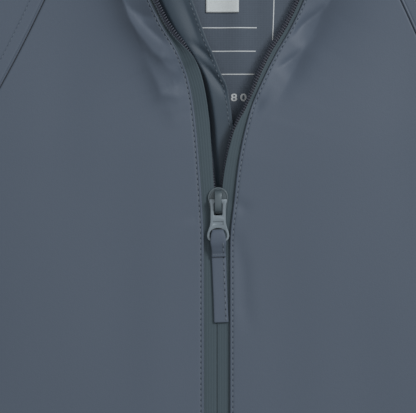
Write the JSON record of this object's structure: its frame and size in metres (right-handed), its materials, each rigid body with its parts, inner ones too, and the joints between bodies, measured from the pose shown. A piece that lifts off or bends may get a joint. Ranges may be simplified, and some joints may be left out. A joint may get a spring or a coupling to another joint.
{
  "type": "child's rain suit",
  "caption": "Toddler's hooded zip rain jacket with raglan sleeves, its zip open at the neck, laid flat on its back above matching pull-on trousers.",
  "frame": {"origin": "bottom centre of the bounding box, on the surface that the suit lies on", "axes": "+X towards the wearer's left, +Y from the trousers' hems towards the hood, +Z out of the suit's front"},
  "size_m": [0.6766, 1.1206, 0.0195],
  "materials": {
    "cloth": "matte coated",
    "zip_tape": "woven tape",
    "zip_metal": "satin enamel",
    "label": "woven satin"
  },
  "bodies": {
    "garment": {"jacket_front_right": "cloth", "jacket_front_left": "cloth", "jacket_back": "cloth", "sleeve_front_right": "cloth", "sleeve_front_left": "cloth", "sleeve_back_right": "cloth", "sleeve_back_left": "cloth", "hood_right": "cloth", "hood_left": "cloth", "zip_tape_right": "zip_tape", "zip_tape_left": "zip_tape", "zip_guard": "cloth", "zip_box": "zip_metal", "zip_slider": "zip_metal", "neck_label": "label", "trouser_front_right": "cloth", "trouser_front_left": "cloth", "trouser_back_right": "cloth", "trouser_back_left": "cloth", "waistband": "cloth"},
    "puller": {"zip_puller": "zip_metal", "pull_tab": "cloth"}
  },
  "joints": [
    {"name": "puller_swing", "type": "hinge", "parent": "garment", "child": "puller", "pos_m": [0.0005, 0.22929, 0.01708], "axis": [-1, 0, 0], "range_deg": [0, 165]}
  ]
}
